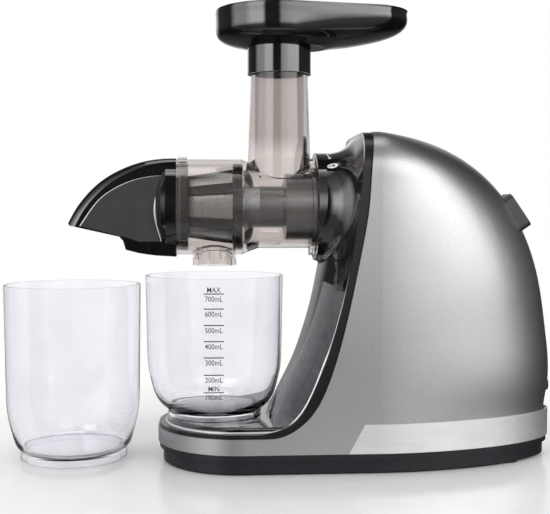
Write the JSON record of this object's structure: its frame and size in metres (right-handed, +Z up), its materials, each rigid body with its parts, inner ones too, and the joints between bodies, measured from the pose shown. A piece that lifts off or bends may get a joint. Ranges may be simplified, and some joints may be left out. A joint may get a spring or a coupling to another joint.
{
  "type": "cold press juicer",
  "caption": "Horizontal cold press juicer: hooded motor body, clear twist-lock drum with auger, feed tray, pulp beak, and clear juice and pulp cups.",
  "frame": {"origin": "middle of the footprint at floor level, under the feet", "axes": "+X from the pulp beak to the back of the body, +Z up, -Y towards the user"},
  "size_m": [0.4377, 0.1302, 0.3534],
  "materials": {
    "silver_paint": "metallic silver-grey lacquer",
    "satin_silver": "satin silver",
    "gloss_black": "piano black",
    "dark_trim": "dark moulded edge",
    "charcoal": "fine textured",
    "black_rubber": "matt",
    "seal_rubber": "silicone",
    "dark_plastic": "moulded",
    "black_plastic": "moulded",
    "white_plastic": "acetal",
    "smoke_clear": "smoky clear moulding",
    "clear_cup": "clear moulding",
    "steel": "plain",
    "steel_mesh": "fine perforated sheet",
    "bearing_steel": "ground",
    "gear_steel": "hobbed",
    "auger_grey": "satin dark grey",
    "cast_grey": "die cast",
    "lamination": "stacked sheet",
    "copper": "enamelled winding",
    "zinc_sheet": "zinc plated",
    "board_green": "laminate",
    "component_black": "moulded"
  },
  "bodies": {
    "base": {"silver_housing": "silver_paint", "trim_band": "satin_silver", "front_cover": "gloss_black", "edge_strip": "dark_trim", "base_tray": "charcoal", "rubber_feet": "black_rubber", "base_screws": "steel", "socket_ring": "dark_plastic", "interlock_sensor": "dark_plastic", "shaft_seal": "seal_rubber", "output_bearings": "bearing_steel", "idler_axle": "steel", "gearbox_housing": "cast_grey", "gearbox_lid": "cast_grey", "gearbox_screws": "steel", "lid_screws": "steel", "front_bell": "cast_grey", "rear_bell": "cast_grey", "motor_bearings": "bearing_steel", "motor_bolts": "steel", "stator_core": "lamination", "stator_coils": "copper", "motor_cradle": "zinc_sheet", "rubber_dampers": "black_rubber", "control_board": "board_green", "board_parts": "component_black", "control_bezel": "satin_silver", "switch_body": "dark_plastic", "cord_gland": "black_rubber"},
    "motor": {"rotor_core": "lamination", "motor_shaft": "gear_steel", "motor_pinion": "gear_steel", "cooling_fan": "dark_plastic"},
    "idler": {"slow_pinion": "gear_steel", "fast_wheel": "white_plastic"},
    "auger_drive": {"auger": "auger_grey", "auger_insert": "steel", "auger_seal": "seal_rubber", "output_shaft": "steel", "output_wheel": "white_plastic"},
    "drum": {"drum": "smoke_clear", "strainer_frame": "black_plastic", "strainer_mesh": "steel_mesh", "interlock_magnet": "steel"},
    "cap": {"end_cap": "gloss_black", "cap_bush": "white_plastic", "cap_gasket": "seal_rubber"},
    "tray": {"feed_tray": "gloss_black"},
    "juice_cup": {"juice_cup": "clear_cup"},
    "pulp_cup": {"pulp_cup": "clear_cup"},
    "rocker": {"rocker": "gloss_black"}
  },
  "joints": [
    {"name": "motor_spin", "type": "hinge", "parent": "base", "child": "motor", "pos_m": [0.13155, 0, 0.11], "axis": [1, 0, 0], "continuous": true},
    {"name": "idler_spin", "type": "hinge", "parent": "base", "child": "idler", "pos_m": [0.07955, 0, 0.146], "axis": [1, 0, 0], "continuous": true},
    {"name": "auger_spin", "type": "hinge", "parent": "base", "child": "auger_drive", "pos_m": [0.04955, 0, 0.2], "axis": [1, 0, 0], "continuous": true},
    {"name": "drum_twist", "type": "hinge", "parent": "base", "child": "drum", "pos_m": [0.02755, 0, 0.2], "axis": [1, 0, 0], "range_deg": [0, 45]},
    {"name": "cap_twist", "type": "hinge", "parent": "drum", "child": "cap", "pos_m": [-0.08145, 0, 0.2], "axis": [1, 0, 0], "range_deg": [-30, 0]},
    {"name": "tray_lift", "type": "slide", "parent": "drum", "child": "tray", "axis": [0, 0, 1], "range_m": [0, 0.06]},
    {"name": "juice_cup_slide", "type": "slide", "parent": "base", "child": "juice_cup", "axis": [0, -1, 0], "range_m": [0, 0.13]},
    {"name": "pulp_cup_slide", "type": "slide", "parent": "base", "child": "pulp_cup", "axis": [0, -1, 0], "range_m": [0, 0.14]},
    {"name": "rocker_tilt", "type": "hinge", "parent": "base", "child": "rocker", "pos_m": [0.19215, 0, 0.198], "axis": [0, 1, 0], "range_deg": [-8, 8]}
  ],
  "couplings": [
    {"joint": "idler_spin", "follows": "motor_spin", "ratio": -0.2},
    {"joint": "auger_spin", "follows": "motor_spin", "ratio": 0.04}
  ]
}
